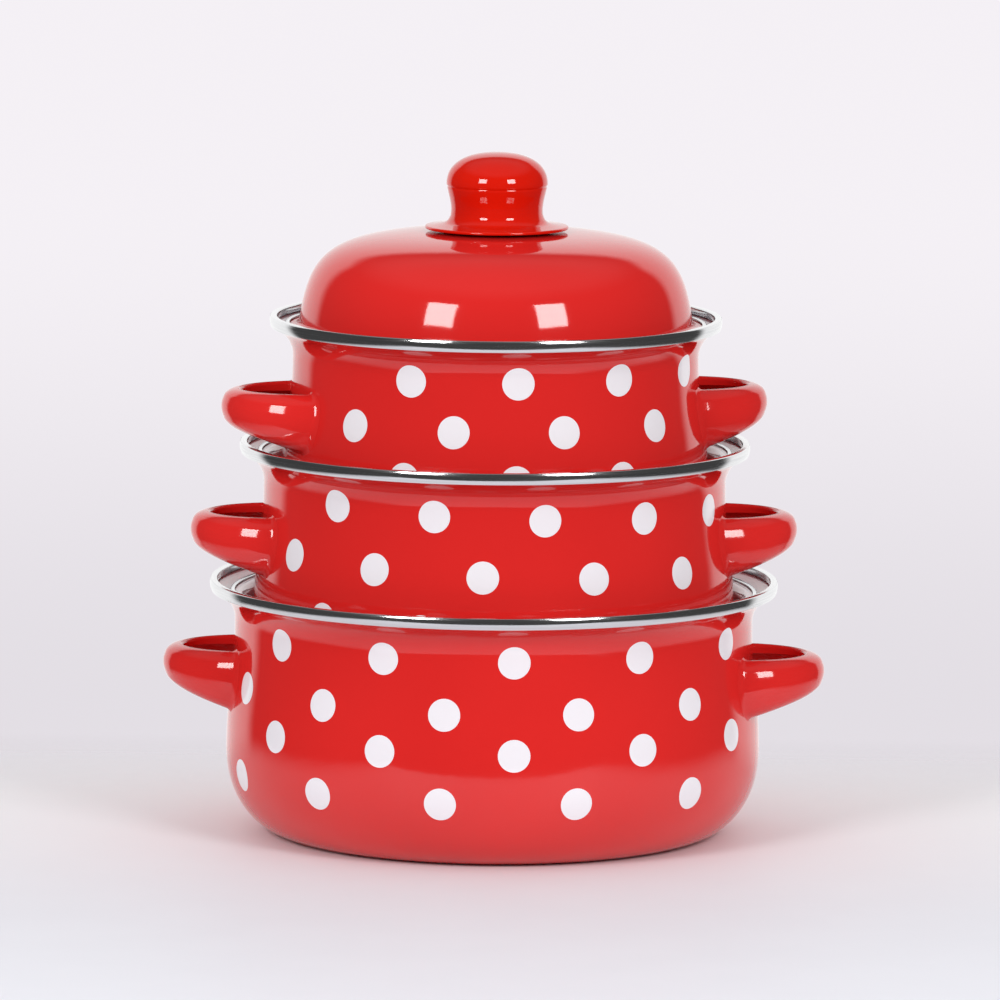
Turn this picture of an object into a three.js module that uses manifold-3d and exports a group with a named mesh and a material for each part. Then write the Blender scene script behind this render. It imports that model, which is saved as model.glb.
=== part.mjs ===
// Set of three enamelled casseroles stacked by size, with their lids. Millimetres, +Z up.
// Origin: middle of the large pot's underside. The two lower lids are turned over and hold the pot above.
import * as THREE from "three";
import { mergeVertices } from "three/addons/utils/BufferGeometryUtils.js";
import Module from "manifold-3d";

const wasm = await Module();
wasm.setup();

// Shared sheet and fits
const enamelSheet = 1.2;
const fit = 0.3;
const roundSides = 28;
const knobSides = 20;
const smallSides = 12;
const weldTolerance = 1e-3;

// Pots: the large one, and the step to each smaller one
const rimRadius = 104;
const rimStep = 10.7;
const rimOverhang = 9.2;
const rimOverhangStep = 0.35;
const bellySwell = 2.95;
const bellySwellStep = 0.37;
const cornerWidth = 22.8;
const cornerWidthStep = 0.2;
const potHeight = 93.2;
const potHeightStep = 5.85;
const bellyHeight = 30;
const bellyHeightStep = 3;
const flareRadius = 11;
const cornerSteps = 4;
const sideSteps = 3;
const flareSteps = 3;

// Steel band that grips the rim of a pot
const rimBandSheet = 0.7;
const rimBandHeight = 4.2;
const rimBandReach = 2.7;
const rimBandChamfer = 0.4;

// Handles: pressed channel, open towards the fingers
const handleFoot = 46.2;
const handleFootStep = 5.8;
const handleReach = 26.9;
const handleBar = 8;
const handleHalfWidth = 25;
const handleRootHeight = 21.3;
const handleTipHeight = 13;
const handleSheet = 1.5;
const handleLip = 3.5;
const handleRound = 6;
const handleLipRound = 1.5;
const handleRootDepth = 9;
const handleSteps = 10;
const handleRoundSteps = 3;
const largeTurn = -3.5;
const turnStep = 6.75;

// Lids
const lidInset = 7.6;
const lidInsetStep = 0.95;
const lidHeight = 37.4;
const lidHeightStep = 0.8;
const lidFlange = 5.1;
const lidFillet = 4;
const lidFoot = 4.6;
const crownPull = 13.5;
const shoulderPull = 4.1;
const shoulderDrop = 4;
const domeSteps = 7;
const filletSteps = 2;
const lidBandSheet = 0.5;
const lidBandReach = 1.6;

// Knob with its insert, screw and washer
const collarRadius = 26.2;
const collarEdge = 1.2;
const collarRise = 3.6;
const knobFillet = 2.2;
const knobNeckRadius = 16.4;
const knobNeckHeight = 6.6;
const knobHeadRadius = 18.4;
const knobHeadHeight = 18;
const knobHeight = 28.5;
const knobSwell = 0.7;
const stemSteps = 6;
const headSteps = 4;
const insertRadius = 4;
const insertLength = 15;
const screwRadius = 2.2;
const screwReach = 12;
const screwHeadRadius = 5;
const screwHeadHeight = 2;
const washerRadius = 8;
const washerThickness = 0.8;

const redEnamel = new THREE.MeshStandardMaterial({ color: 0xd8221f, roughness: 0.12 });
const redKnob = new THREE.MeshStandardMaterial({ color: 0xd61f0c, roughness: 0.2 });
const steel = new THREE.MeshStandardMaterial({ color: 0xc9ccd0, roughness: 0.15, metalness: 1 });
const brass = new THREE.MeshStandardMaterial({ color: 0xb89045, roughness: 0.35, metalness: 1 });

const at = (r, z) => new THREE.Vector2(r, z);
const turnedOver = (profile) => profile.map((p) => at(p.x, -p.y));
const rad = THREE.MathUtils.degToRad;
// Share of its control points' reach that a cubic Bezier loop attains.
const bezierBulge = 0.75;

// Points on an elliptical arc, from one angle to another in degrees, the short way round.
function arc(r, z, radiusR, radiusZ, from, to, steps) {
  return new THREE.EllipseCurve(r, z, radiusR, radiusZ, rad(from), rad(to), from > to).getPoints(steps);
}

function revolve(profile, sides = roundSides) {
  return new THREE.LatheGeometry(profile, sides).rotateX(Math.PI / 2);
}

function solidOf(geometry) {
  const bare = geometry.clone();
  bare.deleteAttribute("normal");
  bare.deleteAttribute("uv");
  const merged = mergeVertices(bare, weldTolerance);
  const vertProperties = merged.attributes.position.array;
  const triVerts = new Uint32Array(merged.index.array);
  return new wasm.Manifold(new wasm.Mesh({ numProp: 3, vertProperties, triVerts }));
}

function geometryOf(solid) {
  const { vertProperties, triVerts } = solid.getMesh();
  const indexed = new THREE.BufferGeometry();
  indexed.setAttribute("position", new THREE.BufferAttribute(vertProperties, 3));
  indexed.setIndex(new THREE.BufferAttribute(triVerts, 1));
  const geometry = indexed.toNonIndexed();
  geometry.computeVertexNormals();
  return geometry;
}

function piece(name, geometry, material) {
  const mesh = new THREE.Mesh(geometry, material);
  mesh.name = name;
  return mesh;
}

// Undersides of the crown's sheet and of the washer, down from the top of the crown.
const washerTop = -enamelSheet - fit;
const screwTop = washerTop - washerThickness - fit;
// Upper end of the insert, up from the top of the crown.
const insertTop = fit + insertLength;

// Heights at which a line of points crosses one radius.
function crossings(profile, r) {
  const heights = [];
  profile.slice(1).forEach((q, i) => {
    const p = profile[i];
    if (Math.min(p.x, q.x) > r || Math.max(p.x, q.x) < r) return;
    if (p.x === q.x) heights.push(p.y, q.y);
    else heights.push(p.y + ((r - p.x) / (q.x - p.x)) * (q.y - p.y));
  });
  return heights;
}

// Height at which the upper profile, let down from above, comes to rest on the lower one.
function restHeight(upper, lower) {
  const radii = [...upper, ...lower].map((p) => p.x);
  const lifts = radii.map((r) => Math.max(...crossings(lower, r)) - Math.min(...crossings(upper, r)));
  return Math.max(...lifts.filter(Number.isFinite)) + fit;
}

function potSize(rank) {
  const size = {
    rim: rimRadius - rank * rimStep,
    height: potHeight - rank * potHeightStep,
    bellyHeight: bellyHeight - rank * bellyHeightStep,
    handleTop: handleFoot - rank * handleFootStep + handleRootHeight,
    turn: largeTurn + rank * turnStep,
  };
  size.neck = size.rim - rimOverhang + rank * rimOverhangStep;
  size.belly = size.neck + bellySwell + rank * bellySwellStep;
  size.base = size.belly - cornerWidth + rank * cornerWidthStep;
  size.lid = size.rim - lidInset + rank * lidInsetStep;
  size.lip = size.rim - rimBandSheet - fit;
  size.flareAngle = Math.acos(1 - (size.lip - size.neck) / flareRadius);
  size.neckHeight = size.height - rimBandHeight - flareRadius * Math.sin(size.flareAngle);
  return size;
}

// Wall from base to lip, set in from the outside by a depth.
function potWall(size, depth) {
  const { base, belly, neck, neckHeight } = size;
  const low = size.bellyHeight;
  const middle = (low + neckHeight) / 2;
  const corner = arc(base, low, belly - base - depth, low - depth, 270, 360, cornerSteps);
  const side = new THREE.CubicBezierCurve(
    at(belly - depth, low),
    at(belly - depth, middle),
    at(neck - depth, middle),
    at(neck - depth, neckHeight),
  );
  const bend = flareRadius + depth;
  const end = 180 - THREE.MathUtils.radToDeg(size.flareAngle);
  const flare = arc(neck + flareRadius, neckHeight, bend, bend, 180, end, flareSteps);
  return [...corner, ...side.getPoints(sideSteps).slice(1), ...flare.slice(1)];
}

function potProfile(size) {
  const outside = potWall(size, 0);
  const inside = potWall(size, enamelSheet).reverse();
  return [at(0, 0), ...outside, ...inside, at(0, enamelSheet)];
}

// Channel over the lip: outer strip, flat top, and an inner leg down to just above the ledge.
function rimBandProfile(size) {
  const { rim, height } = size;
  const inner = rim - rimBandReach;
  const ledge = Math.max(...crossings(potProfile(size), inner + rimBandSheet));
  const foot = ledge + 2 * fit;
  const low = height - rimBandHeight;
  const under = height - rimBandSheet;
  return [
    at(inner, foot),
    at(inner + rimBandSheet, foot),
    at(inner + rimBandSheet, under),
    at(rim - rimBandSheet, under),
    at(rim - rimBandSheet, low),
    at(rim, low),
    at(rim, height - rimBandChamfer),
    at(rim - rimBandChamfer, height),
    at(inner + rimBandChamfer, height),
    at(inner, height - rimBandChamfer),
    at(inner, foot),
  ];
}

// Section of a handle, x downwards from its top edge and y towards the fingers.
function channelSection() {
  const half = handleBar / 2;
  const deep = handleRootHeight;
  const shape = new THREE.Shape();
  shape.moveTo(handleLip, half);
  shape.lineTo(handleLipRound, half);
  shape.quadraticCurveTo(0, half, 0, half - handleLipRound);
  shape.lineTo(0, handleRound - half);
  shape.quadraticCurveTo(0, -half, handleRound, -half);
  shape.lineTo(deep - handleRound, -half);
  shape.quadraticCurveTo(deep, -half, deep, handleRound - half);
  shape.lineTo(deep, half - handleLipRound);
  shape.quadraticCurveTo(deep, half, deep - handleLipRound, half);
  shape.lineTo(deep - handleLip, half);
  shape.lineTo(deep - handleLip, half - handleSheet);
  shape.lineTo(deep - handleSheet, half - handleSheet);
  shape.lineTo(deep - handleSheet, handleRound - half);
  shape.quadraticCurveTo(deep - handleSheet, handleSheet - half, deep - handleRound, handleSheet - half);
  shape.lineTo(handleRound, handleSheet - half);
  shape.quadraticCurveTo(handleSheet, handleSheet - half, handleSheet, handleRound - half);
  shape.lineTo(handleSheet, half - handleSheet);
  shape.lineTo(handleLip, half - handleSheet);
  shape.closePath();
  return shape;
}

// Loop handle swept out from the wall and back, tapered towards its tip, then cut to the wall.
function handle(size, degrees) {
  const wallRadius = crossings(potWall(size, 0).map((p) => at(p.y, p.x)), size.handleTop)[0];
  const start = wallRadius - handleRootDepth;
  const tip = wallRadius + handleReach - handleBar / 2;
  const bezierReach = start + (tip - start) / bezierBulge;
  const path = new THREE.CubicBezierCurve3(
    new THREE.Vector3(start, -handleHalfWidth, 0),
    new THREE.Vector3(bezierReach, -handleHalfWidth, 0),
    new THREE.Vector3(bezierReach, handleHalfWidth, 0),
    new THREE.Vector3(start, handleHalfWidth, 0),
  );
  const loop = new THREE.ExtrudeGeometry(channelSection(), {
    steps: handleSteps,
    curveSegments: handleRoundSteps,
    extrudePath: path,
  });
  const spots = loop.attributes.position;
  for (let i = 0; i < spots.count; i += 1) {
    const out = THREE.MathUtils.clamp((spots.getX(i) - wallRadius) / handleReach, 0, 1);
    spots.setZ(i, spots.getZ(i) * THREE.MathUtils.lerp(1, handleTipHeight / handleRootHeight, out));
  }
  loop.rotateZ(rad(degrees));
  loop.translate(0, 0, size.handleTop);
  const grown = potWall(size, 0).map((p) => at(p.x + fit, p.y));
  const lip = grown[grown.length - 1];
  const envelope = revolve([at(0, 0), ...grown, at(0, lip.y)]);
  return geometryOf(solidOf(loop).subtract(solidOf(envelope)));
}

function lidSize(rank, edge) {
  const side = edge - lidFlange;
  const height = lidHeight - rank * lidHeightStep;
  return {
    edge,
    side,
    height,
    flange: edge - lidBandSheet - fit,
    draft: Math.atan2(shoulderPull, height - shoulderDrop - lidFoot),
  };
}

// Lid surface from the screw hole to the edge of the flange, set in from the outside by a depth.
function lidSkin(lid, depth) {
  const { side, height, draft } = lid;
  const along = Math.cos(draft);
  const up = Math.sin(draft);
  const dome = new THREE.CubicBezierCurve(
    at(0, height - depth),
    at(side - crownPull, height - depth),
    at(side - shoulderPull - depth, height - shoulderDrop - depth),
    at(side - depth * along, lidFoot - depth * up),
  );
  const bend = lidFillet + depth;
  const slope = 180 + THREE.MathUtils.radToDeg(draft);
  const fillet = arc(side + lidFillet * along, lidFoot + lidFillet * up, bend, bend, slope, 270, filletSteps);
  const last = fillet[fillet.length - 1];
  return [
    at(screwRadius + 2 * fit, height - depth),
    ...dome.getPoints(domeSteps).slice(1),
    ...fillet.slice(1),
    at(lid.flange, last.y),
  ];
}

function lidProfile(lid) {
  const inside = lidSkin(lid, enamelSheet);
  return [...inside, ...lidSkin(lid, 0).reverse(), inside[0]];
}

// Channel folded over the edge of a lid.
function lidBandProfile(lid) {
  const inner = lid.edge - lidBandReach;
  const back = lid.edge - lidBandSheet;
  const flange = lidProfile(lid).filter((p) => p.x === lid.flange);
  const low = Math.min(...flange.map((p) => p.y)) - fit;
  const high = Math.max(...crossings(lidProfile(lid), inner)) + fit;
  return [
    at(inner, low - lidBandSheet),
    at(lid.edge, low - lidBandSheet),
    at(lid.edge, high + lidBandSheet),
    at(inner, high + lidBandSheet),
    at(inner, high),
    at(back, high),
    at(back, low),
    at(inner, low),
    at(inner, low - lidBandSheet),
  ];
}

// Mushroom knob on a flat collar; height zero at the top of the crown.
function knobProfile() {
  const bore = insertRadius + fit;
  const lip = collarRadius - collarEdge / 2;
  const stem = new THREE.SplineCurve([
    at(lip, fit + collarEdge),
    at(knobNeckRadius + knobFillet, collarRise),
    at(knobNeckRadius, knobNeckHeight),
    at(THREE.MathUtils.lerp(knobNeckRadius, knobHeadRadius, knobSwell), (knobNeckHeight + knobHeadHeight) / 2),
    at(knobHeadRadius, knobHeadHeight),
  ]);
  const ceiling = insertTop + 2 * fit;
  return [
    at(bore, fit),
    at(lip, fit),
    at(collarRadius, fit + collarEdge / 2),
    ...stem.getPoints(stemSteps),
    ...arc(0, knobHeadHeight, knobHeadRadius, knobHeight - knobHeadHeight, 0, 90, headSteps).slice(1),
    at(0, ceiling),
    at(bore, ceiling),
    at(bore, fit),
  ];
}

function insertProfile() {
  const hole = screwRadius + fit;
  return [
    at(hole, fit),
    at(insertRadius, fit),
    at(insertRadius, insertTop),
    at(hole, insertTop),
    at(hole, fit),
  ];
}

function washerProfile() {
  const hole = screwRadius + 2 * fit;
  const low = washerTop - washerThickness;
  return [
    at(hole, low),
    at(washerRadius, low),
    at(washerRadius, washerTop),
    at(hole, washerTop),
    at(hole, low),
  ];
}

function screwProfile() {
  const low = screwTop - screwHeadHeight;
  return [
    at(0, low),
    at(screwHeadRadius - screwHeadHeight / 2, low),
    at(screwHeadRadius, low + screwHeadHeight / 2),
    at(screwHeadRadius, screwTop),
    at(screwRadius, screwTop),
    at(screwRadius, screwReach),
    at(0, screwReach),
  ];
}

function pot(name, size) {
  const group = new THREE.Group();
  group.add(
    piece(name + "_pot_shell", revolve(potProfile(size)), redEnamel),
    piece(name + "_rim_band", revolve(rimBandProfile(size)), steel),
    piece(name + "_handle_right", handle(size, size.turn), redEnamel),
    piece(name + "_handle_left", handle(size, size.turn + 180), redEnamel),
  );
  return group;
}

function lidAssembly(name, lid) {
  const group = new THREE.Group();
  group.add(
    piece(name + "_lid_shell", revolve(lidProfile(lid)), redEnamel),
    piece(name + "_lid_band", revolve(lidBandProfile(lid)), steel),
  );
  const fixing = new THREE.Group();
  fixing.position.z = lid.height;
  fixing.add(
    piece(name + "_knob", revolve(knobProfile(), knobSides), redKnob),
    piece(name + "_knob_insert", revolve(insertProfile(), smallSides), brass),
    piece(name + "_knob_washer", revolve(washerProfile(), smallSides), steel),
    piece(name + "_knob_screw", revolve(screwProfile(), smallSides), steel),
  );
  group.add(fixing);
  return group;
}

// The stack, from the table up: each lower lid lies turned over in its rim and holds the next pot.
const root = new THREE.Group();
root.name = "enamel_pot_set";
const names = ["large", "medium", "small"];
let floor = 0;
names.forEach((name, rank) => {
  const size = potSize(rank);
  const lid = lidSize(rank, size.lid);
  const shell = potProfile(size);
  const vessel = pot(name, size);
  vessel.position.z = floor;
  const cover = lidAssembly(name, lid);
  const upright = rank === names.length - 1;
  const pose = (profile) => (upright ? profile : turnedOver(profile));
  const lidShell = pose(lidProfile(lid));
  const lidBand = pose(lidBandProfile(lid));
  const seat = Math.max(restHeight(lidBand, shell), restHeight(lidShell, shell));
  cover.position.z = floor + seat;
  cover.rotation.x = upright ? 0 : Math.PI;
  root.add(vessel, cover);
  if (upright) return;
  const next = potProfile(potSize(rank + 1));
  const screw = pose(screwProfile().map((p) => at(p.x, p.y + lid.height)));
  const bowl = Math.max(...[lidShell, lidBand, screw].map((below) => restHeight(next, below)));
  floor += seat + bowl;
});

export default root;
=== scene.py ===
# Looks of a stack of three enamel casseroles with their lids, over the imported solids. Metres, +Z up.
import math

import bmesh
import bpy
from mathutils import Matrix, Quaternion, Vector
from mathutils.geometry import interpolate_bezier


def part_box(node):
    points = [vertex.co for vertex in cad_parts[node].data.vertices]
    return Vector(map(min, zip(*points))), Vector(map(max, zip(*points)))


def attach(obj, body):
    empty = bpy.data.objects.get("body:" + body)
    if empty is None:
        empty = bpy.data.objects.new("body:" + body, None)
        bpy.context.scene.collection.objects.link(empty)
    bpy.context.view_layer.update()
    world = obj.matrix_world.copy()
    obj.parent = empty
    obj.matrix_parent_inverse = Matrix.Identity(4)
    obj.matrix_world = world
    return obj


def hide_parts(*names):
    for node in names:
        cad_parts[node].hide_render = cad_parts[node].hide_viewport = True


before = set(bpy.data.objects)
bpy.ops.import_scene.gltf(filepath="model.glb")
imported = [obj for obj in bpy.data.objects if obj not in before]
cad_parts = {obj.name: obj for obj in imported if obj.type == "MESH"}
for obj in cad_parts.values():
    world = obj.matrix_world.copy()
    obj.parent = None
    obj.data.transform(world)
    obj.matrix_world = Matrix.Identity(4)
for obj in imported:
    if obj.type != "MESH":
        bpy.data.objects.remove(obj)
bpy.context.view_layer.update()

mm = 0.001
sheet = 1.2 * mm
fit = 0.3 * mm
names = ["large", "medium", "small"]
ringSteps = 192


# Nodes: a wire is one output, arithmetic on it adds Math nodes, and make adds any other node to its tree.
class Wire:
    def __init__(self, socket):
        self.socket = socket
        self.tree = socket.id_data

    def make(self, kind, settings, inputs, output=0):
        return addNode(self.tree, kind, settings, inputs, output)

    def also(self, output):
        return Wire(self.socket.node.outputs[output])

    def math(self, operation, *terms):
        inputs = dict(enumerate(terms))
        return self.make("ShaderNodeMath", {"operation": operation}, inputs)

    def __add__(self, other):
        return self.math("ADD", self, other)

    def __radd__(self, other):
        return self.math("ADD", other, self)

    def __sub__(self, other):
        return self.math("SUBTRACT", self, other)

    def __rsub__(self, other):
        return self.math("SUBTRACT", other, self)

    def __mul__(self, other):
        return self.math("MULTIPLY", self, other)

    def __rmul__(self, other):
        return self.math("MULTIPLY", other, self)

    def __truediv__(self, other):
        return self.math("DIVIDE", self, other)

    def __rtruediv__(self, other):
        return self.math("DIVIDE", other, self)

    def ramp(self, low, high, start=0.0, end=1.0):
        inputs = {"From Min": low, "From Max": high, "To Min": start, "To Max": end, "Value": self}
        return self.make("ShaderNodeMapRange", {"interpolation_type": "SMOOTHSTEP"}, inputs)

    def mix(self, first, second):
        inputs = {0: self, 6: first, 7: second}  # the factor and the two colours
        return self.make("ShaderNodeMix", {"data_type": "RGBA"}, inputs, 2)


def addNode(tree, kind, settings, inputs, output=0):
    node = tree.nodes.new(kind)
    for key, value in settings.items():
        setattr(node, key, value)
    for key, value in inputs.items():
        if isinstance(value, Wire):
            tree.links.new(value.socket, node.inputs[key])
        else:
            node.inputs[key].default_value = value
    return Wire(node.outputs[output])


def colour(red, green, blue):
    return (red, green, blue, 1.0)


# Materials
def startMaterial(name, constants):
    material = bpy.data.materials.new(name)
    material.use_nodes = True
    tree = material.node_tree
    shader = tree.nodes["Principled BSDF"]
    for key, value in constants.items():
        shader.inputs[key].default_value = value
    place = addNode(tree, "ShaderNodeTexCoord", {}, {}, "Object")
    return material, shader, place


def noise(place, scale, detail=2.0):
    inputs = {"Vector": place, "Scale": scale, "Detail": detail}
    return place.make("ShaderNodeTexNoise", {}, inputs, 0)


def feed(shader, **wires):
    for key, wire in wires.items():
        wire.tree.links.new(wire.socket, shader.inputs[key.replace("_", " ")])


def bump(height, distance, strength=1.0):
    inputs = {"Strength": strength, "Distance": distance, "Height": height}
    return height.make("ShaderNodeBump", {}, inputs)


# Fired glass: an even colour with slow drifts, and the slight waviness of a dipped coat.
enamelForm = {"index": 1.57, "drift": 9.0, "peel": 120.0, "peelDepth": 0.03, "dulling": 0.03}
patchy = (0.3, 0.7)  # the part of a noise that shades from one tone to the other


def enamel(name, deep, pale, smooth):
    form = enamelForm
    material, shader, place = startMaterial(name, {"IOR": form["index"]})
    drift = noise(place, form["drift"])
    peel = noise(place, form["peel"], 1.0)
    feed(
        shader,
        Base_Color=drift.ramp(*patchy).mix(deep, pale),
        Roughness=drift.ramp(*patchy, smooth, smooth + form["dulling"]),
        Normal=bump(peel, form["peelDepth"] * mm),
    )
    return material


# Rolled strip: fine lines that run round the axis.
steelForm = {"lines": 2600.0, "breaks": 3.0, "lineDepth": 0.004, "rough": (0.07, 0.17)}


def polishedSteel():
    form = steelForm
    material, shader, place = startMaterial("polishedSteel", {"Metallic": 1.0})
    parts = place.make("ShaderNodeSeparateXYZ", {}, {"Vector": place})
    across, along, height = parts, parts.also("Y"), parts.also("Z")
    square = across * across + along * along
    radius = square.math("SQRT", square)
    turn = along.math("ARCTAN2", along, across)
    inputs = {"X": turn * form["breaks"], "Y": radius * form["lines"], "Z": height * form["lines"]}
    lines = noise(place.make("ShaderNodeCombineXYZ", {}, inputs), 1.0, 3.0)
    tone = lines.ramp(0.25, 0.75).mix(colour(0.66, 0.665, 0.68), colour(0.8, 0.8, 0.81))
    rough = lines.ramp(0.2, 0.8, *form["rough"])
    feed(shader, Base_Color=tone, Roughness=rough, Normal=bump(lines, form["lineDepth"] * mm))
    return material


# Moulded resin, glossy with a faint waviness
mouldForm = {"index": 1.58, "drift": 40.0, "waveDepth": 0.02, "rough": (0.04, 0.08)}


def mouldedKnob():
    form = mouldForm
    material, shader, place = startMaterial("mouldedKnob", {"IOR": form["index"]})
    drift = noise(place, form["drift"])
    tone = drift.ramp(*patchy).mix(colour(0.66, 0.008, 0.001), colour(0.72, 0.01, 0.0013))
    rough = drift.ramp(*patchy, *form["rough"])
    feed(shader, Base_Color=tone, Roughness=rough, Normal=bump(drift, form["waveDepth"] * mm))
    return material


# Plated or turned metal of the fixings, with a fine grain
grainForm = {"scale": 900.0, "dulling": 0.12}


def plainMetal(name, dark, bright, rough):
    material, shader, place = startMaterial(name, {"Metallic": 1.0})
    grain = noise(place, grainForm["scale"], 4.0)
    tone = grain.ramp(*patchy).mix(dark, bright)
    feed(shader, Base_Color=tone, Roughness=grain.ramp(*patchy, rough, rough + grainForm["dulling"]))
    return material


redEnamel = enamel("redEnamel", colour(0.66, 0.018, 0.016), colour(0.72, 0.021, 0.0185), 0.05)
whiteEnamel = enamel("whiteEnamel", colour(0.73, 0.7, 0.75), colour(0.8, 0.77, 0.82), 0.07)
dotEnamel = enamel("dotEnamel", colour(0.84, 0.81, 0.85), colour(0.88, 0.85, 0.89), 0.08)
stripSteel = polishedSteel()
knobPhenolic = mouldedKnob()
zincSteel = plainMetal("zincSteel", colour(0.5, 0.51, 0.52), colour(0.66, 0.66, 0.67), 0.22)
turnedBrass = plainMetal("turnedBrass", colour(0.5, 0.33, 0.11), colour(0.62, 0.44, 0.17), 0.25)


# Outlines, as radius and height
def arc(centre, radii, start, end, steps):
    points = []
    for i in range(steps + 1):
        angle = math.radians(start + (end - start) * i / steps)
        x = centre[0] + radii[0] * math.cos(angle)
        y = centre[1] + radii[1] * math.sin(angle)
        points.append(Vector((x, y)))
    return points


def bezier(a, b, c, d, steps):
    return interpolate_bezier(Vector(a), Vector(b), Vector(c), Vector(d), steps + 1)


# Catmull-Rom curve through a few points
def spline(points, steps):
    curve = []
    for i in range(len(points) - 1):
        a = points[max(i - 1, 0)]
        b, c = points[i], points[i + 1]
        d = points[min(i + 2, len(points) - 1)]
        leg = bezier(b, b + (c - a) / 6, c - (d - b) / 6, c, steps)
        curve += leg if i == 0 else leg[1:]
    return curve


cornerPull = 0.55  # how far a rounding is drawn towards its corner


# Corners of (radius, height, rounding) joined up, each corner eased over its rounding.
def rounded(corners, closed=True, steps=5):
    points = []
    for i, (x, y, ease) in enumerate(corners):
        here = Vector((x, y))
        if ease == 0 or (not closed and i in (0, len(corners) - 1)):
            points.append(here)
            continue
        before = Vector(corners[i - 1][:2])
        after = Vector(corners[(i + 1) % len(corners)][:2])
        start = here + (before - here).normalized() * ease
        end = here + (after - here).normalized() * ease
        points += bezier(start, start.lerp(here, cornerPull), end.lerp(here, cornerPull), end, steps)
    return points


# Where a line of points crosses one value of an axis, as values of the other axis
def crossings(points, value, axis):
    found = []
    for p, q in zip(points, points[1:]):
        low, high = sorted((p[axis], q[axis]))
        if low <= value <= high and high > low:
            share = (value - p[axis]) / (q[axis] - p[axis])
            found.append(p[1 - axis] + share * (q[1 - axis] - p[1 - axis]))
    return found


def addPiece(mesh, name, finishes, body, nodes, sharp=35):
    data = bpy.data.meshes.new(name)
    bmesh.ops.recalc_face_normals(mesh, faces=mesh.faces)
    mesh.to_mesh(data)
    mesh.free()
    for finish in finishes:
        data.materials.append(finish)
    data.shade_smooth()
    data.set_sharp_from_angle(angle=math.radians(sharp))
    piece = bpy.data.objects.new(name, data)
    bpy.context.collection.objects.link(piece)
    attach(piece, body)
    if nodes:
        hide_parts(*nodes)
    return piece


onAxisRadius = 1e-9


# Turns an outline round the axis. From the point numbered change on, faces take the second finish.
def turned(outline, steps=ringSteps, change=None):
    mesh = bmesh.new()
    rings = []
    for point in outline:
        if point.x < onAxisRadius:
            rings.append([mesh.verts.new((0.0, 0.0, point.y))] * (steps + 1))
            continue
        ring = []
        for k in range(steps):
            angle = 2 * math.pi * k / steps
            ring.append(mesh.verts.new((point.x * math.cos(angle), point.x * math.sin(angle), point.y)))
        rings.append(ring + ring[:1])
    bothOnAxis = max(outline[0].x, outline[-1].x) < onAxisRadius
    count = len(outline) - 1 if bothOnAxis else len(outline)
    for i in range(count):
        a = rings[i]
        b = rings[(i + 1) % len(outline)]
        for k in range(steps):
            corners = list(dict.fromkeys([a[k], a[k + 1], b[k + 1], b[k]]))
            if len(corners) < 3:
                continue
            face = mesh.faces.new(corners)
            face.material_index = 1 if change is not None and i >= change else 0
    return mesh


# Pots: sizes of the large one and the change to each smaller one
potForm = {
    "overhang": (9.2, -0.35),
    "swell": (2.95, 0.37),
    "corner": (22.8, -0.2),
    "bellyHeight": (30.0, -3.0),
    "flare": 11.0,
    "bandHeight": 4.2,
    "cornerSteps": 28,
    "sideSteps": 24,
    "flareSteps": 14,
}


def stepped(pair, rank):
    return (pair[0] + pair[1] * rank) * mm


def potSize(rank):
    name = names[rank]
    low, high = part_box(name + "_pot_shell")
    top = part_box(name + "_rim_band")[1]
    size = {"name": name, "floor": low.z, "rim": top.x, "height": top.z - low.z, "lip": high.x, "rank": rank}
    size["neck"] = size["rim"] - stepped(potForm["overhang"], rank)
    size["belly"] = size["neck"] + stepped(potForm["swell"], rank)
    size["base"] = size["belly"] - stepped(potForm["corner"], rank)
    size["bellyHeight"] = stepped(potForm["bellyHeight"], rank)
    flare = potForm["flare"] * mm
    size["flareTurn"] = math.acos(1 - (size["lip"] - size["neck"]) / flare)
    rise = flare * math.sin(size["flareTurn"])
    size["neckHeight"] = size["height"] - potForm["bandHeight"] * mm - rise
    return size


# Wall from the base to the lip, set in from the outside by a depth, at its place in the stack
def potWall(size, depth):
    base, belly, neck = size["base"], size["belly"], size["neck"]
    floor = size["floor"]
    low = floor + size["bellyHeight"]
    high = floor + size["neckHeight"]
    middle = (low + high) / 2
    flare = potForm["flare"] * mm
    radii = (belly - base - depth, low - floor - depth)
    corner = arc((base, low), radii, 270, 360, potForm["cornerSteps"])
    side = bezier(
        (belly - depth, low),
        (belly - depth, middle),
        (neck - depth, middle),
        (neck - depth, high),
        potForm["sideSteps"],
    )
    end = 180 - math.degrees(size["flareTurn"])
    bend = arc((neck + flare, high), (flare + depth, flare + depth), 180, end, potForm["flareSteps"])
    return corner + side[1:] + bend[1:]


def makeShell(size):
    outside = potWall(size, 0.0)
    inside = potWall(size, sheet)
    floor = size["floor"]
    outline = [Vector((0, floor))] + outside + inside[::-1] + [Vector((0, floor + sheet))]
    mesh = turned(outline, change=len(outside) + 1)
    name = size["name"]
    glazes = [redEnamel, whiteEnamel]
    piece = addPiece(mesh, name + "EnamelShell", glazes, name + "_pot", [name + "_pot_shell"])


# Steel strip folded over the lip. Its outer face stands out most near the top and leans in below.
stripForm = {
    "sheet": 0.7,
    "leg": 0.95,
    "reach": 2.7,
    "apex": 0.2,
    "lean": 0.55,
    "crest": 0.35,
    "topEase": 0.45,
    "footEase": 0.12,
    "fold": 0.15,
    "bowEase": 0.25,
    "bowShares": (-0.7, -0.4, -0.1, 0.2, 0.5, 0.75),
}


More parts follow.
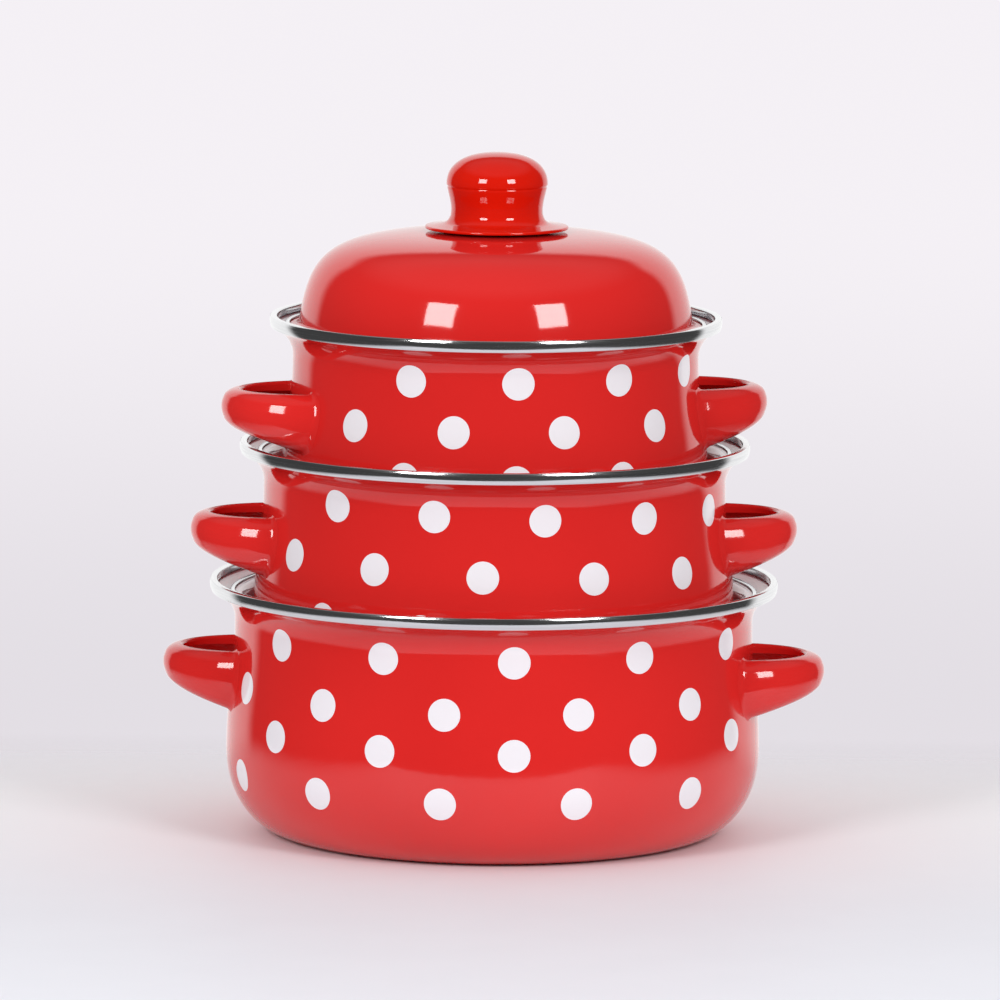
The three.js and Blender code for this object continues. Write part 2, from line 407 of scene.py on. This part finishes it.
def makeRimStrip(size):
    thick = stripForm["sheet"] * mm
    inner = size["rim"] - stripForm["reach"] * mm
    top = size["floor"] + size["height"]
    low = top - potForm["bandHeight"] * mm
    foot = max(crossings(potWall(size, sheet), inner + thick, 0)) + 2 * fit
    topEase = stripForm["topEase"] * mm
    footEase = stripForm["footEase"] * mm
    fold = stripForm["fold"] * mm
    apex = stripForm["apex"]
    lean = stripForm["lean"] * mm
    crest = stripForm["crest"] * mm
    leg = size["rim"] - stripForm["leg"] * mm
    half = (top - low) / 2
    bowed = []
    for share in stripForm["bowShares"]:
        away = share - apex
        drop = lean * (away / (1 + apex)) ** 2 if away < 0 else crest * (away / (1 - apex)) ** 2
        bowed.append((size["rim"] - drop, low + half * (1 + share), stripForm["bowEase"] * mm))
    outline = rounded([
        (inner, foot, footEase),
        (inner + thick, foot, footEase),
        (inner + thick, top - thick, fold),
        (leg, top - thick, fold),
        (leg, low, footEase),
        (size["rim"] - lean, low, footEase),
        *bowed,
        (size["rim"] - crest, top, topEase),
        (inner, top, topEase),
    ])
    name = size["name"]
    piece = addPiece(turned(outline), name + "RimStrip", [stripSteel], name + "_pot", [name + "_rim_band"])


# Loop handles: a pressed channel with a low ridge, open towards the fingers and flared where it is welded
handleForm = {
    "reach": 26.9,
    "bar": 8.0,
    "halfWidth": 25.0,
    "root": 21.3,
    "tip": 13.0,
    "sheet": 1.5,
    "lip": 3.5,
    "bow": 2.5,
    "ease": 4.5,
    "ridgeEase": 4.0,
    "lipEase": 1.5,
    "depth": 9.0,
    "bulge": 0.75,
    "weld": 2.4,
    "bury": 0.4,
    "turn": (-3.5, 6.75),
    "weldSteps": 6,
    "loopSteps": 30,
    "cornerSteps": 8,
    "rootTries": 24,
    "sharp": 50,
}


# Channel section as (down from the top edge, towards the fingers): its outside, then its hollow
def channelSection():
    half = handleForm["bar"] / 2
    deep = handleForm["root"]
    lip = handleForm["lip"]
    thick = handleForm["sheet"]
    ease = handleForm["ease"]
    lipEase = handleForm["lipEase"]
    back = half - thick
    edge = handleForm["bow"] - half
    outside = rounded([
        (lip, half, 0),
        (0, half, lipEase),
        (0, edge, ease),
        (deep / 2, -half, handleForm["ridgeEase"]),
        (deep, edge, ease),
        (deep, half, lipEase),
        (deep - lip, half, 0),
    ], closed=False, steps=handleForm["cornerSteps"])
    hollow = rounded([
        (deep - lip, back, 0),
        (deep - thick, back, thick / 2),
        (deep - thick, edge + thick, ease - thick),
        (deep / 2, -back, ease - thick),
        (thick, edge + thick, ease - thick),
        (thick, back, thick / 2),
        (lip, back, 0),
    ], closed=False, steps=handleForm["cornerSteps"])
    return outside, hollow


def makeHandle(size, side):
    form = handleForm
    name = size["name"]
    node = name + "_handle_" + side
    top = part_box(node)[1].z
    wall = potWall(size, 0.0)
    wallRadius = crossings(wall, top, 1)[0] / mm
    start = wallRadius - form["depth"]
    reach = start + (wallRadius + form["reach"] - form["bar"] / 2 - start) / form["bulge"]
    half = form["halfWidth"]
    knots = [Vector((start, -half)), Vector((reach, -half)), Vector((reach, half)), Vector((start, half))]
    spin = math.radians(form["turn"][0] + form["turn"][1] * size["rank"] + (180 if side == "left" else 0))
    outside, hollow = channelSection()
    section = outside + hollow

    def along(t):
        s = 1 - t
        spot = knots[0] * s**3 + knots[1] * (3 * s * s * t) + knots[2] * (3 * s * t * t) + knots[3] * t**3
        way = (knots[1] - knots[0]) * (s * s)
        way += (knots[2] - knots[1]) * (2 * s * t)
        way += (knots[3] - knots[2]) * (t * t)
        return spot, way

    def place(t, down, across):
        spot, way = along(t)
        way.normalize()
        spot = spot + Vector((-way.y, way.x)) * across
        out = min(max((spot.x - wallRadius) / form["reach"], 0.0), 1.0)
        taper = 1 + out * (form["tip"] / form["root"] - 1)
        return Vector((spot.x * mm, spot.y * mm, top - down * taper * mm))

    def rootOf(down, across):
        low, high = 0.0, 0.5
        for _ in range(form["rootTries"]):
            t = (low + high) / 2
            spot = place(t, down, across)
            radius = max(crossings(wall, spot.z, 1)) - form["bury"] * mm
            if spot.xy.length > radius:
                high = t
            else:
                low = t
        return high

    mesh = bmesh.new()
    rails = []
    for i, point in enumerate(section):
        grow = Vector((0, 0))
        if i < len(outside):
            before = outside[max(i - 1, 0)]
            after = outside[min(i + 1, len(outside) - 1)]
            step = (after - before).normalized()
            grow = Vector((step.y, -step.x))
        root = rootOf(*point)
        foot = rootOf(*(point + grow * form["weld"]))
        speed = along(root)[1].length * 3
        rail = []
        for k in range(form["weldSteps"]):
            angle = math.pi / 2 * k / form["weldSteps"]
            share = 1 - math.sin(angle)
            t = root + (foot - root) * share + form["weld"] * (1 - math.cos(angle)) / speed
            rail.append((t, point + grow * form["weld"] * share))
        clear = root + form["weld"] / speed
        for k in range(form["loopSteps"] + 1):
            rail.append((clear + (0.5 - clear) * k / form["loopSteps"], point))
        rail += [(1 - t, spread) for t, spread in rail[-2::-1]]
        spots = [place(t, *spread) for t, spread in rail]
        for spot in spots:
            spot.rotate(Quaternion((0, 0, 1), spin))
        rails.append([mesh.verts.new(spot) for spot in spots])
    for a, b in zip(rails, rails[1:] + rails[:1]):
        for k in range(len(a) - 1):
            mesh.faces.new((a[k], a[k + 1], b[k + 1], b[k]))
    mesh.faces.new([rail[0] for rail in rails])
    mesh.faces.new([rail[-1] for rail in rails])
    title = name + "Handle" + side.capitalize()
    piece = addPiece(mesh, title, [redEnamel], name + "_pot", [node], form["sharp"])


# White dots fired onto the outside in staggered rows, the same on the back as on the front
dotForm = {
    "radius": 5.85,
    "rise": 0.07,
    "sides": 48,
    "rings": 5,
    "edgePower": 8.0,
    "edgeDrop": 0.7,
    "far": 0.3,
    "sharp": 70,
}
# Degrees between dots, fall from one dot to the next, and rows of (first angle, height, number of dots)
dotRows = {
    "large": {
        "step": 29.1,
        "drop": 0.0,
        "rows": [(-53.6, 76.0, 5), (-68.6, 57.0, 5), (-53.6, 42.8, 5), (-69.2, 24.9, 5)],
    },
    "medium": {
        "step": 27.2,
        "drop": 1.1,
        "rows": [(-41.9, 71.3, 5), (-57.0, 51.1, 5), (-44.4, 30.2, 5)],
    },
    "small": {
        "step": 30.5,
        "drop": 0.0,
        "rows": [(-24.1, 65.2, 4), (-41.8, 47.6, 4), (-24.7, 30.2, 3)],
    },
}


# One row: points by angle, let fall on the wall, a thin disc on each, then every vertex laid on the wall.
def dotRowTree():
    tree = bpy.data.node_groups.new("dotRow", "GeometryNodeTree")
    sockets = [
        ("Wall", "Geometry"), ("Count", "Int"), ("First", "Float"), ("Step", "Float"), ("Height", "Float"),
        ("Drop", "Float"), ("Radius", "Float"), ("Rise", "Float"), ("Sides", "Int"), ("Rings", "Int"),
        ("Finish", "Material"),
    ]
    for label, kind in sockets:
        tree.interface.new_socket(name=label, in_out="INPUT", socket_type="NodeSocket" + kind)
    tree.interface.new_socket(name="Dots", in_out="OUTPUT", socket_type="NodeSocketGeometry")
    wall = addNode(tree, "NodeGroupInput", {}, {}, "Wall")
    number = wall.make("GeometryNodeInputIndex", {}, {})
    angle = number * wall.also("Step") + wall.also("First")
    far = dotForm["far"]
    east = angle.math("SINE", angle) * far
    north = angle.math("COSINE", angle) * -far
    up = wall.also("Height") - number * wall.also("Drop")
    start = wall.make("ShaderNodeCombineXYZ", {}, {"X": east, "Y": north, "Z": up})
    points = wall.make("GeometryNodePoints", {}, {"Count": wall.also("Count"), "Position": start})
    here = wall.make("GeometryNodeInputPosition", {}, {})
    flat = here.make("ShaderNodeVectorMath", {"operation": "MULTIPLY"}, {0: here, 1: (1, 1, 0)})
    outward = flat.make("ShaderNodeVectorMath", {"operation": "NORMALIZE"}, {0: flat})
    inward = outward.make("ShaderNodeVectorMath", {"operation": "SCALE"}, {0: outward, "Scale": -1.0})
    fall = {"Target Geometry": wall, "Source Position": here, "Ray Direction": inward, "Ray Length": far}
    landing = wall.make("GeometryNodeRaycast", {}, fall, "Hit Position")
    seated = points.make("GeometryNodeSetPosition", {}, {"Geometry": points, "Position": landing})

    disc = {
        "Vertices": wall.also("Sides"),
        "Fill Segments": wall.also("Rings"),
        "Radius": wall.also("Radius"),
        "Depth": wall.also("Rise"),
    }
    lens = wall.make("GeometryNodeMeshCylinder", {"fill_type": "TRIANGLE_FAN"}, disc, "Mesh")
    spread = flat.make("ShaderNodeVectorMath", {"operation": "LENGTH"}, {0: flat}, "Value")
    share = spread / wall.also("Radius")
    edge = share.math("POWER", share, dotForm["edgePower"]) * dotForm["edgeDrop"]
    crown = (1.0 - edge) * wall.also("Rise")
    height = here.make("ShaderNodeSeparateXYZ", {}, {"Vector": here}, "Z")
    upper = height.math("GREATER_THAN", height, 0.0)
    lift = upper * (crown + wall.also("Rise")) - wall.also("Rise")
    keep = {"Geometry": lens, "Name": "lift", "Value": lift}
    lens = lens.make("GeometryNodeStoreNamedAttribute", {"data_type": "FLOAT", "domain": "POINT"}, keep)

    facing = outward.make("FunctionNodeAlignRotationToVector", {"axis": "Z"}, {"Vector": outward})
    copies = {"Points": seated, "Instance": lens, "Rotation": facing}
    dots = seated.make("GeometryNodeInstanceOnPoints", {}, copies)
    dots = dots.make("GeometryNodeRealizeInstances", {}, {"Geometry": dots})
    clear = outward.make("ShaderNodeVectorMath", {"operation": "SCALE"}, {0: outward, "Scale": far / 10})
    above = here.make("ShaderNodeVectorMath", {"operation": "ADD"}, {0: here, 1: clear})
    press = {"Target Geometry": wall, "Source Position": above, "Ray Direction": inward, "Ray Length": far}
    contact = wall.make("GeometryNodeRaycast", {}, press, "Hit Position")
    lifted = contact.make("GeometryNodeInputNamedAttribute", {"data_type": "FLOAT"}, {"Name": "lift"})
    rise = {0: contact.also("Hit Normal"), "Scale": lifted}
    rise = contact.make("ShaderNodeVectorMath", {"operation": "SCALE"}, rise)
    laid = contact.make("ShaderNodeVectorMath", {"operation": "ADD"}, {0: contact, 1: rise})
    dots = dots.make("GeometryNodeSetPosition", {}, {"Geometry": dots, "Position": laid})
    dots = dots.make("GeometryNodeSetMaterial", {}, {"Geometry": dots, "Material": wall.also("Finish")})
    tree.nodes.new("NodeGroupOutput")
    tree.links.new(dots.socket, tree.nodes["Group Output"].inputs["Dots"])
    return tree


def dotRow(tree, wallPiece, values):
    modifier = wallPiece.modifiers.new("dotRow", "NODES")
    modifier.node_group = tree
    for socket in tree.interface.items_tree:
        if socket.name in values:
            modifier[socket.identifier] = values[socket.name]
    bpy.context.view_layer.update()
    graph = bpy.context.evaluated_depsgraph_get()
    data = bpy.data.meshes.new_from_object(wallPiece.evaluated_get(graph), depsgraph=graph)
    wallPiece.modifiers.remove(modifier)
    return data


def makeDots(size, tree):
    name = size["name"]
    pattern = dotRows[name]
    wall = potWall(size, 0.0)
    closed = [Vector((0, wall[0].y))] + wall + [Vector((0, wall[-1].y))]
    wallMesh = turned(closed, steps=4 * ringSteps)
    bmesh.ops.recalc_face_normals(wallMesh, faces=wallMesh.faces)
    wallData = bpy.data.meshes.new("dotWall")
    wallMesh.to_mesh(wallData)
    wallMesh.free()
    wallPiece = bpy.data.objects.new("dotWall", wallData)
    bpy.context.collection.objects.link(wallPiece)
    mesh = bmesh.new()
    for first, height, count in pattern["rows"]:
        for half in (0, 180):
            values = {
                "Count": count,
                "First": math.radians(first + half),
                "Step": math.radians(pattern["step"]),
                "Height": size["floor"] + height * mm,
                "Drop": pattern["drop"] * mm,
                "Radius": dotForm["radius"] * mm,
                "Rise": dotForm["rise"] * mm,
                "Sides": dotForm["sides"],
                "Rings": dotForm["rings"],
                "Finish": dotEnamel,
            }
            mesh.from_mesh(dotRow(tree, wallPiece, values))
    bpy.data.objects.remove(wallPiece)
    addPiece(mesh, name + "Dots", [dotEnamel], name + "_pot", [], dotForm["sharp"])


# Lids: a dome with a drawn fillet and a flat flange, its edge folded into a thin steel channel
lidForm = {
    "height": (37.4, -0.8),
    "flange": 5.1,
    "fillet": 2.0,
    "foot": 2.9,
    "crownPull": 13.5,
    "shoulderPull": 4.1,
    "shoulderDrop": 4.0,
    "bandSheet": 0.5,
    "bandReach": 1.6,
    "bandEase": 0.2,
    "hole": 2.8,
    "domeSteps": 40,
    "filletSteps": 8,
}


def lidSize(rank):
    name = names[rank]
    low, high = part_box(name + "_lid_shell")
    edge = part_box(name + "_lid_band")[1].x
    height = stepped(lidForm["height"], rank)
    upright = rank == len(names) - 1
    fall = height - (lidForm["shoulderDrop"] + lidForm["foot"]) * mm
    return {
        "name": name,
        "edge": edge,
        "side": edge - lidForm["flange"] * mm,
        "flange": high.x,
        "height": height,
        "way": 1 if upright else -1,
        "level": high.z - height if upright else low.z + height,
        "draft": math.atan2(lidForm["shoulderPull"] * mm, fall),
    }


# Puts an outline of the lid, or of the knob's fixing, at its place in the stack.
def posed(lid, outline, lift=0.0):
    return [Vector((p[0], lid["level"] + lid["way"] * (p[1] + lift))) for p in outline]


def lidSkin(lid, depth):
    side, height, draft = lid["side"], lid["height"], lid["draft"]
    fillet = lidForm["fillet"] * mm
    foot = lidForm["foot"] * mm
    pull = lidForm["shoulderPull"] * mm
    drop = lidForm["shoulderDrop"] * mm
    dome = bezier(
        (0, height - depth),
        (side - lidForm["crownPull"] * mm, height - depth),
        (side - pull - depth, height - drop - depth),
        (side - depth * math.cos(draft), foot - depth * math.sin(draft)),
        lidForm["domeSteps"],
    )
    hole = Vector((lidForm["hole"] * mm, height - depth))
    dome = [hole] + [p for p in dome if p.x > 2 * hole.x]
    centre = (side + fillet * math.cos(draft), foot + fillet * math.sin(draft))
    bend = fillet + depth
    foldUp = arc(centre, (bend, bend), 180 + math.degrees(draft), 270, lidForm["filletSteps"])
    return dome + foldUp[1:] + [Vector((lid["flange"], foldUp[-1].y))]


def makeLid(lid):
    name = lid["name"]
    outside = lidSkin(lid, 0.0)
    inside = lidSkin(lid, sheet)
    outline = posed(lid, outside + inside[::-1])
    mesh = turned(outline, change=len(outside) - 1)
    glazes = [redEnamel, whiteEnamel]
    piece = addPiece(mesh, name + "LidEnamel", glazes, name + "_lid", [name + "_lid_shell"])
    thick = lidForm["bandSheet"] * mm
    ease = lidForm["bandEase"] * mm
    inner = lid["edge"] - lidForm["bandReach"] * mm
    back = lid["edge"] - thick
    high = outside[-1].y + fit
    low = inside[-1].y - fit
    outline = rounded([
        (inner, low - thick, ease),
        (lid["edge"], low - thick, 2 * ease),
        (lid["edge"], high + thick, 2 * ease),
        (inner, high + thick, ease),
        (inner, high, ease),
        (back, high, 0),
        (back, low, 0),
        (inner, low, ease),
    ])
    mesh = turned(posed(lid, outline))
    piece = addPiece(mesh, name + "LidEdge", [stripSteel], name + "_lid", [name + "_lid_band"])


# Mushroom knob: a thin dished collar, a waisted neck, a parting groove, and the cap
knobForm = {
    "collar": 26.2,
    "collarEdge": 1.2,
    "collarLift": 0.3,
    "neck": 16.7,
    "head": 18.5,
    "headHeight": 17.0,
    "height": 28.5,
    "bore": 4.3,
    "ceiling": 15.9,
    "stem": [
        (21.8, 2.3), (18.6, 3.1), (17.05, 5.2), (16.75, 8.0),
        (17.15, 11.0), (17.75, 13.6), (18.2, 15.6),
    ],
    "groove": [(18.05, 16.2), (18.35, 16.6)],
    "capPull": [(18.6, 22.0), (15.0, 28.5)],
}
knobSteps = {"ring": 128, "edge": 8, "stem": 6, "cap": 28}


def makeKnob(lid):
    form = {key: value * mm for key, value in knobForm.items() if not isinstance(value, list)}
    bead = form["collarEdge"] / 2
    lip = form["collar"] - bead
    low = fit + form["collarLift"]
    edge = arc((lip, low + bead), (bead, bead), -90, 90, knobSteps["edge"])
    stem = spline([edge[-1]] + [Vector(point) * mm for point in knobForm["stem"]], knobSteps["stem"])
    groove = [Vector(point) * mm for point in knobForm["groove"]]
    top = Vector((0, form["height"]))
    pulls = [Vector(point) * mm for point in knobForm["capPull"]]
    cap = bezier((form["head"], form["headHeight"]), *pulls, top, knobSteps["cap"])
    seat = Vector((form["neck"], fit))
    ceiling = form["ceiling"]
    bore = [Vector((0, ceiling)), Vector((form["bore"], ceiling)), Vector((form["bore"], fit))]
    outline = bore + [seat] + edge + stem[1:] + groove + cap[:-1] + [top]
    name = lid["name"]
    mesh = turned(posed(lid, outline, lid["height"]), steps=knobSteps["ring"])
    piece = addPiece(mesh, name + "KnobBody", [knobPhenolic], name + "_lid", [name + "_knob"])


# Cuts a cross-shaped recess between two heights out of a mesh.
def cutRecess(mesh, length, width, low, high):
    long, short = length / 2, width / 2
    arm = [(long, -short), (long, short), (short, short)]
    corners = []
    for turn in range(4):
        spin = Quaternion((0, 0, 1), math.radians(90 * turn))
        corners += [spin @ Vector((x, y, 0)) for x, y in arm]
    cutter = bmesh.new()
    floor = [cutter.verts.new((p.x, p.y, low)) for p in corners]
    roof = [cutter.verts.new((p.x, p.y, high)) for p in corners]
    cutter.faces.new(floor)
    cutter.faces.new(roof)
    for k in range(len(corners)):
        cutter.faces.new((floor[k - 1], floor[k], roof[k], roof[k - 1]))
    bmesh.ops.recalc_face_normals(cutter, faces=cutter.faces)
    bmesh.ops.recalc_face_normals(mesh, faces=mesh.faces)
    pair = []
    for label, source in (("recessBody", mesh), ("recessTool", cutter)):
        data = bpy.data.meshes.new(label)
        source.to_mesh(data)
        source.free()
        pair.append(bpy.data.objects.new(label, data))
        bpy.context.collection.objects.link(pair[-1])
    body, tool = pair
    modifier = body.modifiers.new("recess", "BOOLEAN")
    modifier.operation = "DIFFERENCE"
    modifier.solver = "EXACT"
    modifier.object = tool
    bpy.context.view_layer.update()
    graph = bpy.context.evaluated_depsgraph_get()
    result = bmesh.new()
    result.from_mesh(bpy.data.meshes.new_from_object(body.evaluated_get(graph), depsgraph=graph))
    for piece in pair:
        bpy.data.objects.remove(piece)
    return result


# Washer under the lid and the screw that holds the knob
screwForm = {
    "radius": 2.2,
    "reach": 12.0,
    "head": 5.0,
    "headHeight": 2.0,
    "washer": 8.0,
    "washerThickness": 0.8,
    "washerEase": 0.2,
    "recessWidth": 1.1,
    "recessLength": 5.4,
    "recessDepth": 1.1,
}
screwSteps = {"ring": 64, "head": 10, "washerEdge": 3}


def makeScrew(lid):
    form = {key: value * mm for key, value in screwForm.items()}
    name = lid["name"]
    washerTop = -sheet - fit
    washerLow = washerTop - form["washerThickness"]
    hole = form["radius"] + 2 * fit
    ease = form["washerEase"]
    outline = rounded([
        (hole, washerLow, ease),
        (form["washer"], washerLow, ease),
        (form["washer"], washerTop, ease),
        (hole, washerTop, ease),
    ], steps=screwSteps["washerEdge"])
    mesh = turned(posed(lid, outline, lid["height"]), steps=screwSteps["ring"])
    piece = addPiece(mesh, name + "Washer", [zincSteel], name + "_lid", [name + "_knob_washer"])
    top = washerLow - fit
    low = top - form["headHeight"]
    half = form["head"] / 2
    head = arc((half, top), (half, form["headHeight"]), -90, 0, screwSteps["head"])
    shank = [
        Vector((form["radius"], top)),
        Vector((form["radius"], form["reach"] - form["radius"] / 2)),
        Vector((form["radius"] / 2, form["reach"])),
        Vector((0, form["reach"])),
    ]
    outline = [Vector((0, low))] + head + shank
    mesh = turned(posed(lid, outline, lid["height"]), steps=screwSteps["ring"])
    depths = (low - form["recessDepth"], low + form["recessDepth"])
    ends = [point.y for point in posed(lid, [(0, depth) for depth in depths], lid["height"])]
    mesh = cutRecess(mesh, form["recessLength"], form["recessWidth"], min(ends), max(ends))
    piece = addPiece(mesh, name + "Screw", [zincSteel], name + "_lid", [name + "_knob_screw"])


print("pots")
dotTree = dotRowTree()
for rank in range(len(names)):
    size = potSize(rank)
    makeShell(size)
    makeRimStrip(size)
    for side in ("left", "right"):
        makeHandle(size, side)
    makeDots(size, dotTree)

print("lids")
for rank in range(len(names)):
    lid = lidSize(rank)
    makeLid(lid)
    makeKnob(lid)
    makeScrew(lid)
    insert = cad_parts[names[rank] + "_knob_insert"]
    insert.data.materials.clear()
    insert.data.materials.append(turnedBrass)


floorForm = {
    "half": 8.0,
    "front": 0.46,
    "frontFade": (-0.385, -0.36),
    "backFade": (0.06, 0.22),
    "sideFade": (0.24, 0.42),
    # where the painted light brightens the floor colour towards the back
    "paintedLightFade": (-0.2, 0.1),
    "grain": 30.0,
}


# Pale floor that fades into the background behind the stack, at its sides and in front of it, with painted
# light: its colour grows lighter towards the back
def makeFloor():
    half = floorForm["half"]
    data = bpy.data.meshes.new("floor")
    edge = -floorForm["front"]
    corners = [(-half, edge, 0), (half, edge, 0), (half, half, 0), (-half, half, 0)]
    data.from_pydata(corners, [], [(0, 1, 2, 3)])
    material, shader, place = startMaterial("floorPaper", {"Roughness": 0.6, "Specular IOR Level": 0.2})
    grain = noise(place, floorForm["grain"])
    back = place.make("ShaderNodeSeparateXYZ", {}, {"Vector": place}, "Y")
    side = back.also("X")
    side = side.math("ABSOLUTE", side)
    near = grain.ramp(0.2, 0.8).mix(colour(0.79, 0.795, 0.85), colour(0.8, 0.805, 0.86))
    # painted light: the floor colour brightens from the grain tone near the stack to nearly white behind it
    tone = back.ramp(*floorForm["paintedLightFade"]).mix(near, colour(0.95, 0.95, 0.98))
    fade = side.ramp(*floorForm["sideFade"], 1.0, 0.0) * back.ramp(*floorForm["frontFade"])
    feed(shader, Base_Color=tone, Alpha=fade * back.ramp(*floorForm["backFade"], 1.0, 0.0))
    data.materials.append(material)
    floor = bpy.data.objects.new("floor", data)
    bpy.context.collection.objects.link(floor)


# Two square softboxes in front
lightForm = {"azimuth": 34.0, "elevation": 24.7, "distance": 1.5, "size": 0.44, "power": 7.7, "aim": 0.12}


def makeLights():
    form = lightForm
    aim = Vector((0, 0, form["aim"]))
    for label, sign in (("left", -1), ("right", 1)):
        turn = math.radians(form["azimuth"]) * sign
        rise = math.radians(form["elevation"])
        way = Vector((math.sin(turn) * math.cos(rise), -math.cos(turn) * math.cos(rise), math.sin(rise)))
        data = bpy.data.lights.new(label + "Softbox", "AREA")
        data.shape = "SQUARE"
        data.size = form["size"]
        data.energy = form["power"]
        lamp = bpy.data.objects.new(label + "Softbox", data)
        lamp.location = aim + way * form["distance"]
        lamp.rotation_mode = "QUATERNION"
        lamp.rotation_quaternion = way.to_track_quat("Z", "Y")
        lamp.visible_camera = False
        bpy.context.collection.objects.link(lamp)


# A white field behind, dim elsewhere, with more fill from the sides; the camera sees a pale backdrop
worldForm = {
    "behind": (0.57, 0.71),
    "low": (0.5, 0.62),
    "above": (0.55, 0.85),
    "sideways": (0.5, 0.9),
    "horizon": (-0.155, -0.1),
    "aboveLevel": 0.2,
    "fill": 0.39,
    "sideFill": 0.22,
    "least": 0.06,
}


def makeWorld():
    form = worldForm
    world = bpy.data.worlds.new("studio")
    bpy.context.scene.world = world
    world.use_nodes = True
    tree = world.node_tree
    tree.nodes.clear()
    way = addNode(tree, "ShaderNodeTexCoord", {}, {}, "Generated")
    parts = way.make("ShaderNodeSeparateXYZ", {}, {"Vector": way})
    rise = parts.also("Z")
    behind = parts.also("Y").ramp(*form["behind"])
    low = rise.ramp(*form["low"], 1.0, 0.0)
    above = rise.ramp(*form["above"])
    across = parts.also("X")
    sideways = across.math("ABSOLUTE", across).ramp(*form["sideways"])
    rays = way.make("ShaderNodeLightPath", {}, {}, "Is Camera Ray")
    fill = rays.also("Is Diffuse Ray") * (sideways * form["sideFill"] + form["fill"])
    level = behind * low + above * form["aboveLevel"] + fill + form["least"]
    shade = level.make("ShaderNodeCombineColor", {}, {0: level, 1: level, 2: level})
    backdrop = rise.ramp(*form["horizon"]).mix(colour(0.77, 0.735, 0.78), colour(0.91, 0.875, 0.915))
    tone = rays.mix(shade, backdrop)
    glow = tone.make("ShaderNodeBackground", {}, {"Color": tone, "Strength": 1.0})
    tree.nodes.new("ShaderNodeOutputWorld")
    tree.links.new(glow.socket, tree.nodes["World Output"].inputs["Surface"])


# A long lens from far off, a little above the stack
cameraForm = {
    "distance": 3.371,
    "elevation": 7.62,
    "aimX": 0.002,
    "aimZ": 0.122,
    "lens": 331.7,
    "sensor": 36.0,
    "reach": 100.0,
    "roll": 0.48,
}


def makeCamera():
    form = cameraForm
    rise = math.radians(form["elevation"])
    back = Vector((0, -math.cos(rise), math.sin(rise)))
    data = bpy.data.cameras.new("camera")
    data.lens = form["lens"]
    data.sensor_width = form["sensor"]
    data.clip_end = form["reach"]
    camera = bpy.data.objects.new("camera", data)
    camera.location = Vector((form["aimX"], 0, form["aimZ"])) + back * form["distance"]
    camera.rotation_mode = "QUATERNION"
    roll = Quaternion((0, 0, 1), math.radians(form["roll"]))
    camera.rotation_quaternion = back.to_track_quat("Z", "Y") @ roll
    bpy.context.collection.objects.link(camera)
    bpy.context.scene.camera = camera


print("studio")
makeFloor()
makeLights()
makeWorld()
makeCamera()
bpy.context.scene.view_settings.view_transform = "Standard"
